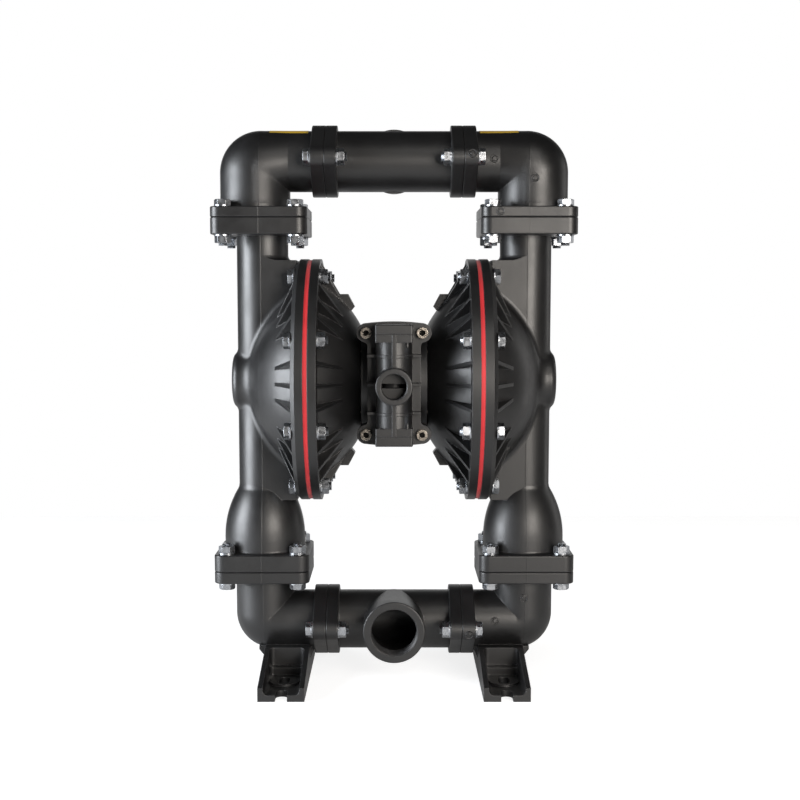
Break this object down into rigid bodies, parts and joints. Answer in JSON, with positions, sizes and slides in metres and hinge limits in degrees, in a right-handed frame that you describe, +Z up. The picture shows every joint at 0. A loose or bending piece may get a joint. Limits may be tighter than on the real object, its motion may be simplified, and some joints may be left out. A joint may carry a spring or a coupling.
{
  "type": "air operated diaphragm pump",
  "caption": "Twin chamber pump driven by compressed air, with a square frame of cast pipes, ball valves, flexing discs and slotted feet.",
  "frame": {"origin": "on the floor, under the middle of the pump", "axes": "+X along the shaft to the right as seen from the suction port side, +Y to the rear, +Z up"},
  "size_m": [0.432, 0.292, 0.6665],
  "materials": {
    "cast_black": "satin black coat",
    "red_elastomer": "smooth",
    "zinc_steel": "bright zinc",
    "screw_steel": "satin",
    "steel": "machined",
    "shaft_steel": "ground",
    "bronze": "machined",
    "black_rubber": "matte",
    "ball_rubber": "smooth",
    "spool_plastic": "matte",
    "muffler_plastic": "matte"
  },
  "bodies": {
    "housing": {"fluid_cap_left": "cast_black", "fluid_cap_right": "cast_black", "air_cap_left": "cast_black", "air_cap_right": "cast_black", "centre_body": "cast_black", "suction_elbow_left": "cast_black", "suction_elbow_right": "cast_black", "discharge_elbow_left": "cast_black", "discharge_elbow_right": "cast_black", "suction_tee": "cast_black", "discharge_tee": "cast_black", "valve_block": "cast_black", "valve_cap_top": "cast_black", "valve_cap_bottom": "cast_black", "diaphragm_left": "red_elastomer", "diaphragm_right": "red_elastomer", "suction_seat_left": "steel", "suction_seat_right": "steel", "discharge_seat_left": "steel", "discharge_seat_right": "steel", "shaft_bushings": "bronze", "pilot_bushings": "bronze", "shaft_seals": "black_rubber", "seat_rings": "black_rubber", "manifold_joint_rings": "black_rubber", "valve_gasket": "black_rubber", "valve_cap_gaskets": "black_rubber", "air_cap_gaskets": "black_rubber", "exhaust_muffler": "muffler_plastic", "valve_block_screws": "screw_steel", "valve_cap_screws": "screw_steel", "air_cap_screws": "screw_steel", "chamber_bolts": "zinc_steel", "chamber_nuts": "zinc_steel", "suction_flange_bolts": "zinc_steel", "suction_flange_nuts": "zinc_steel", "discharge_flange_bolts": "zinc_steel", "discharge_flange_nuts": "zinc_steel", "suction_joint_bolts": "zinc_steel", "suction_joint_nuts": "zinc_steel", "discharge_joint_bolts": "zinc_steel", "discharge_joint_nuts": "zinc_steel", "chamber_washers": "zinc_steel", "suction_flange_washers": "zinc_steel", "discharge_flange_washers": "zinc_steel", "joint_washers": "zinc_steel"},
    "shaft": {"diaphragm_shaft": "shaft_steel", "inner_washer_left": "steel", "inner_washer_right": "steel", "outer_washer_left": "steel", "outer_washer_right": "steel", "washer_bolts": "steel"},
    "pilot": {"pilot_rod": "shaft_steel"},
    "spool": {"valve_spool": "spool_plastic", "spool_cups": "black_rubber"},
    "suction_ball_left": {"suction_ball_left": "ball_rubber"},
    "suction_ball_right": {"suction_ball_right": "ball_rubber"},
    "discharge_ball_left": {"discharge_ball_left": "ball_rubber"},
    "discharge_ball_right": {"discharge_ball_right": "ball_rubber"}
  },
  "joints": [
    {"name": "shaft_slide", "type": "slide", "parent": "housing", "child": "shaft", "axis": [1, 0, 0], "range_m": [-0.025, 0.025], "deforming": ["diaphragm_left", "diaphragm_right"]},
    {"name": "pilot_slide", "type": "slide", "parent": "housing", "child": "pilot", "axis": [1, 0, 0], "range_m": [-0.005, 0.005]},
    {"name": "spool_slide", "type": "slide", "parent": "housing", "child": "spool", "axis": [0, 0, 1], "range_m": [0, 0.012]},
    {"name": "suction_ball_left_lift", "type": "slide", "parent": "housing", "child": "suction_ball_left", "axis": [0, 0, 1], "range_m": [0, 0.014]},
    {"name": "suction_ball_right_lift", "type": "slide", "parent": "housing", "child": "suction_ball_right", "axis": [0, 0, 1], "range_m": [0, 0.014]},
    {"name": "discharge_ball_left_lift", "type": "slide", "parent": "housing", "child": "discharge_ball_left", "axis": [0, 0, 1], "range_m": [0, 0.014]},
    {"name": "discharge_ball_right_lift", "type": "slide", "parent": "housing", "child": "discharge_ball_right", "axis": [0, 0, 1], "range_m": [0, 0.014]}
  ],
  "couplings": [
    {"joint": "pilot_slide", "follows": "shaft_slide", "ratio": 0.2}
  ]
}
